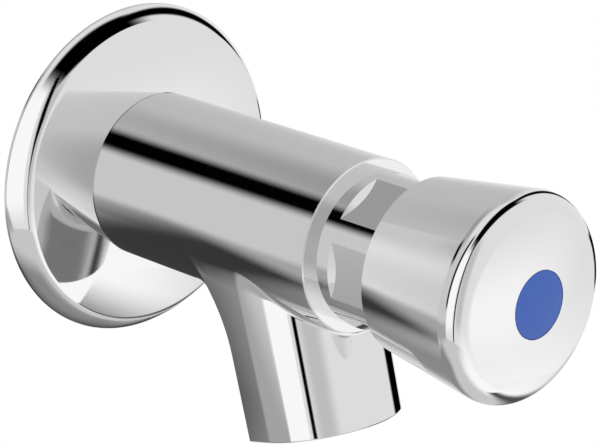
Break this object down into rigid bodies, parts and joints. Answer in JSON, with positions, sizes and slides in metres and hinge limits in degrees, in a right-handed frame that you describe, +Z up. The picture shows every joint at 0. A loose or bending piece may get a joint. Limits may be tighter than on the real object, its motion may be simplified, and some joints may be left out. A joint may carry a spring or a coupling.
{
  "type": "push timed tap",
  "caption": "Wall mounted chromed tap with a short leaning spout and a flared push button that slides in to open the water and comes back by itself.",
  "frame": {"origin": "centre of the inlet tail on the wall plane, which is the back of the flange's gasket", "axes": "+Y into the wall along the barrel, so the tap stands out towards -Y; +Z up, the spout points down; +X to the right as seen facing the tap"},
  "size_m": [0.0706, 0.1277, 0.0799],
  "materials": {
    "chromed_brass": "polished",
    "brass": "turned",
    "stainless_steel": "turned",
    "spring_steel": "drawn wire",
    "white_acetal": "moulded",
    "black_rubber": "moulded",
    "foam_rubber": "cut foam",
    "blue_plastic": "gloss"
  },
  "bodies": {
    "tap_body": {"body": "chromed_brass", "wall_flange": "chromed_brass", "flange_gasket": "foam_rubber", "inlet_filter": "stainless_steel", "flow_limiter": "white_acetal", "outlet_washer": "black_rubber", "flow_straightener": "white_acetal", "outlet_ring": "chromed_brass", "headwork": "chromed_brass", "headwork_seal": "black_rubber", "cartridge_sleeve": "white_acetal", "sleeve_seal": "black_rubber", "valve_seat": "stainless_steel", "guide_bush": "white_acetal", "bush_clip": "stainless_steel", "spindle_seal": "black_rubber", "metering_pin": "stainless_steel", "return_spring": "spring_steel"},
    "button_assembly": {"spring_cap": "brass", "spindle": "stainless_steel", "piston": "white_acetal", "piston_seal": "black_rubber", "piston_clip": "stainless_steel", "valve_washer": "black_rubber", "washer_plate": "brass", "washer_nut": "brass", "push_button": "chromed_brass", "button_screw": "stainless_steel", "index_disc": "blue_plastic"}
  },
  "joints": [
    {"name": "button_push", "type": "slide", "parent": "tap_body", "child": "button_assembly", "axis": [0, 1, 0], "range_m": [0, 0.008], "stiffness_N_per_m": 1200, "springref_m": -0.01, "deforming": ["return_spring"]}
  ]
}
